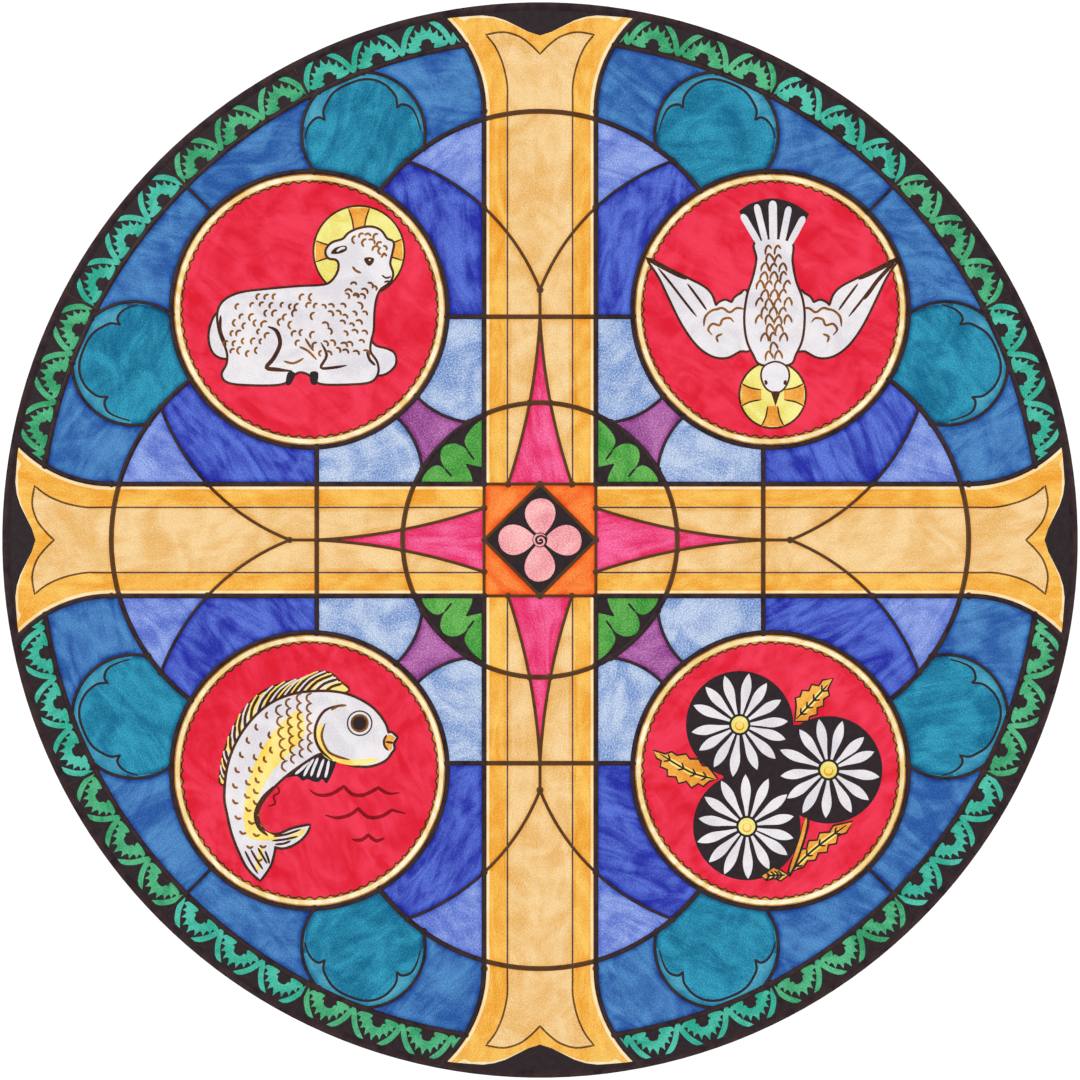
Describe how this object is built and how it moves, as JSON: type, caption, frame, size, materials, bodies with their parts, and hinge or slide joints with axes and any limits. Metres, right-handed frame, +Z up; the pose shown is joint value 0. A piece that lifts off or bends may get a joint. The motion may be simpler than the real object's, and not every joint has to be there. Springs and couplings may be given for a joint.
{
  "type": "stained glass window",
  "caption": "Round leaded window of painted glass: a cross with flared arms, a star in its middle, a quatrefoil, and medallions with a lamb, dove, fish and daisies.",
  "frame": {"origin": "on the back face of the wide came around the edge, in the middle of its width, at the lowest point of the window", "axes": "the front of the window faces -Y, +X is to the right seen from the front, and +Z is up in the plane of the glass"},
  "size_m": [1.5, 0.0074, 1.5],
  "materials": {
    "lead": "satin",
    "cream_glass": "gloss",
    "magenta_glass": "gloss",
    "light_blue_glass": "gloss",
    "ultramarine_glass": "gloss",
    "outer_blue_glass": "gloss",
    "teal_glass": "gloss",
    "leaf_green_glass": "gloss",
    "purple_glass": "gloss",
    "red_glass": "gloss",
    "emerald_glass": "gloss"
  },
  "bodies": {
    "root": {"lead_net": "lead", "cross_arm_top": "cream_glass", "cross_arm_right": "cream_glass", "cross_arm_bottom": "cream_glass", "cross_arm_left": "cream_glass", "star_and_middle": "magenta_glass", "light_blue_pane_top_right": "light_blue_glass", "light_blue_pane_top_left": "light_blue_glass", "light_blue_pane_right_lower": "light_blue_glass", "light_blue_pane_right_upper": "light_blue_glass", "light_blue_pane_bottom_left": "light_blue_glass", "light_blue_pane_bottom_right": "light_blue_glass", "light_blue_pane_left_upper": "light_blue_glass", "light_blue_pane_left_lower": "light_blue_glass", "ultramarine_pane_top_right": "ultramarine_glass", "ultramarine_pane_top_left": "ultramarine_glass", "ultramarine_pane_right_lower": "ultramarine_glass", "ultramarine_pane_right_upper": "ultramarine_glass", "ultramarine_pane_bottom_left": "ultramarine_glass", "ultramarine_pane_bottom_right": "ultramarine_glass", "ultramarine_pane_left_upper": "ultramarine_glass", "ultramarine_pane_left_lower": "ultramarine_glass", "outer_blue_pane_top_right": "outer_blue_glass", "outer_blue_pane_top_left": "outer_blue_glass", "outer_blue_pane_right_lower": "outer_blue_glass", "outer_blue_pane_right_upper": "outer_blue_glass", "outer_blue_pane_bottom_left": "outer_blue_glass", "outer_blue_pane_bottom_right": "outer_blue_glass", "outer_blue_pane_left_upper": "outer_blue_glass", "outer_blue_pane_left_lower": "outer_blue_glass", "diagonal_pane_upper_right": "outer_blue_glass", "diagonal_pane_lower_right": "outer_blue_glass", "diagonal_pane_lower_left": "outer_blue_glass", "diagonal_pane_upper_left": "outer_blue_glass", "trefoil_pane_top_right": "teal_glass", "trefoil_pane_top_left": "teal_glass", "trefoil_pane_right_lower": "teal_glass", "trefoil_pane_right_upper": "teal_glass", "trefoil_pane_bottom_left": "teal_glass", "trefoil_pane_bottom_right": "teal_glass", "trefoil_pane_left_upper": "teal_glass", "trefoil_pane_left_lower": "teal_glass", "leaf_pane_upper_right": "leaf_green_glass", "leaf_pane_lower_right": "leaf_green_glass", "leaf_pane_lower_left": "leaf_green_glass", "leaf_pane_upper_left": "leaf_green_glass", "hollow_pane_upper_right": "purple_glass", "hollow_pane_lower_right": "purple_glass", "hollow_pane_lower_left": "purple_glass", "hollow_pane_upper_left": "purple_glass", "dove_medallion": "red_glass", "daisy_medallion": "red_glass", "fish_medallion": "red_glass", "lamb_medallion": "red_glass", "border_pane_upper_right": "emerald_glass", "border_pane_lower_right": "emerald_glass", "border_pane_lower_left": "emerald_glass", "border_pane_upper_left": "emerald_glass"}
  },
  "joints": []
}
